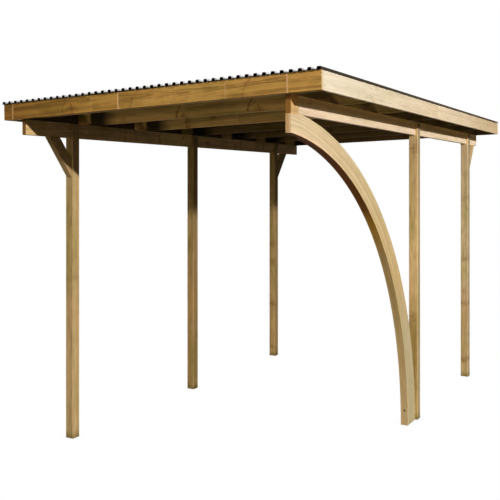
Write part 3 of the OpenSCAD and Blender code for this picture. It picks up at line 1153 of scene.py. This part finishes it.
# %% Setting the heads out
def set_out(name, head, seats, finish):
    """Copies a head to every seat, a point and the way it looks, and joins the copies into one piece."""
    bpy.ops.object.select_all(action="DESELECT")
    for point, looks in seats:
        copy = head.copy()
        copy.data = head.data.copy()
        turn = Vector(looks).to_track_quat("Z", "Y").to_matrix().to_4x4()
        copy.matrix_world = Matrix.Translation(point) @ turn
        bpy.context.collection.objects.link(copy)
        copy.select_set(True)
        bpy.context.view_layer.objects.active = copy
    if len(seats) > 1:
        bpy.ops.object.join()
    group = bpy.context.object
    bpy.ops.object.transform_apply(location=True, rotation=True, scale=True)
    group.name = name
    group.data.materials.append(finish)
    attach(group, "root")
    print(name, len(seats), "heads,", len(group.data.polygons), "faces")


print("heads can be set out")

# %% [markdown]
# ## Screws in posts and braces
# A beam lies in the fork of each post and is screwed through both cheeks, two screws a side, set askew so
# that the wood doesn't split along one fibre. A brace is screwed through its lower long side, two screws at
# each tip.

# %% Screws in posts and braces
CHEEK_SEATS = ((-0.020, 0.040), (0.020, 0.095))
BRACE_SEAT = 0.060
BRACE_PAIR = 0.014

seats = []
for node in POST_TONES:
    low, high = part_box(node)
    beam = "beam_left" if node.endswith("left") else "beam_right"
    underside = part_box(beam)[0][2]
    for along, rise in CHEEK_SEATS:
        middle = (low[1] + high[1]) / 2
        seats.append(((low[0], middle + along, underside + rise), (-1, 0, 0)))
        seats.append(((high[0], middle + along, underside + rise), (1, 0, 0)))
set_out("post_screws", flanged_head, seats, zinc_finish)

seats = []
for node, (lean, _, _) in BRACES.items():
    low, high = (Vector(corner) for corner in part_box(node))
    slope = Vector((0, lean * BRACE_RUN, BRACE_DROP)).normalized()
    looks = Vector((0, lean * BRACE_DROP, -BRACE_RUN)).normalized()
    tip = Vector(((low.x + high.x) / 2, low.y if lean > 0 else high.y, low.z))
    length = math.hypot(BRACE_RUN, BRACE_DROP)
    for reach in (BRACE_SEAT, length - BRACE_SEAT):
        for aside in (-BRACE_PAIR, BRACE_PAIR):
            seats.append((tip + slope * reach + Vector((aside, 0, 0)), looks))
set_out("brace_screws", flat_head, seats, brown_finish)

# %% [markdown]
# ## Screws in the fascia boards
# Small flat heads hold the boards: the front and back ones to the first and last joist, the side ones to
# every joist's end. Their places are reckoned in the roof's own tilted measures and then turned into the
# frame's.

# %% Screws in the fascia boards
FASCIA_ROWS = (0.035, 0.105)
FASCIA_COLUMNS = (-1.2, -0.6, 0, 0.6, 1.2)
JOIST_FIRST = -2.6245
JOIST_STEP = 0.87483


def on_roof(across, back, rise):
    """A point of the tilted roof: metres from its middle line, back, and up from the joists' underside."""
    point = Vector((DECK_SHIFT, back, DECK_HEIGHT))
    return point + Vector(DOWN_FALL) * across + Vector(ROOF_UP) * rise


seats = []
for rise in FASCIA_ROWS:
    for column in FASCIA_COLUMNS:
        for facing in (-1, 1):
            back = facing * (SIDE_BOARD[0] / 2 + FRONT_BOARD[2])
            seats.append((on_roof(column, back, rise), (0, facing, 0)))
    for number in range(JOIST_COUNT):
        for facing in (-1, 1):
            point = on_roof(facing * FRONT_BOARD[0] / 2, JOIST_FIRST + number * JOIST_STEP, rise)
            seats.append((point, Vector(DOWN_FALL) * facing))
set_out("fascia_screws", flat_head, seats, brown_finish)

# %% [markdown]
# ## Screws in the roof
# Sheets of this kind are screwed down in their valleys, through a washer into each joist, in every fourth
# valley. The heads stay lower than the ribs.

# %% Screws in the roof
RIB_COUNT = 44
RIB_FIRST = -1.5285
RIB_STEP = 0.07109
VALLEY_TOP = 0.1415
SCREWED = range(2, RIB_COUNT - 1, 4)
LAPPED = range(14, 29)
LAP_RISE = 0.0018

seats = []
for valley in SCREWED:
    rise = VALLEY_TOP + (LAP_RISE if valley in LAPPED else 0)
    for number in range(JOIST_COUNT):
        point = on_roof(RIB_FIRST + (valley + 0.5) * RIB_STEP, JOIST_FIRST + number * JOIST_STEP, rise)
        seats.append((point, ROOF_UP))
set_out("roof_screws", flanged_head, seats, zinc_finish)

# %% [markdown]
# ## The bolt in the arch's foot
# The arch is drawn to its post by one bolt at the bottom of the sunk hole near the foot. Its head is modelled
# as the screws' are, with six sides for a spanner, a wider foot and a taller grip. The patterns are deleted
# once all their copies stand.

# %% The bolt in the arch's foot
BOLT_PLACE = (1.2425, -0.060, 0.146)
BOLT_HEAD = (0.0108, 0.0022, 0.00833, 0.0062)
BOLT_SIDES = 6
bolt_head = model_head("bolt_head", *BOLT_HEAD, sides=BOLT_SIDES)
set_out("foot_bolt", bolt_head, [(BOLT_PLACE, (0, -1, 0))], zinc_finish)
for pattern in (flanged_head, flat_head, bolt_head):
    bpy.data.objects.remove(pattern)
print("patterns put away")
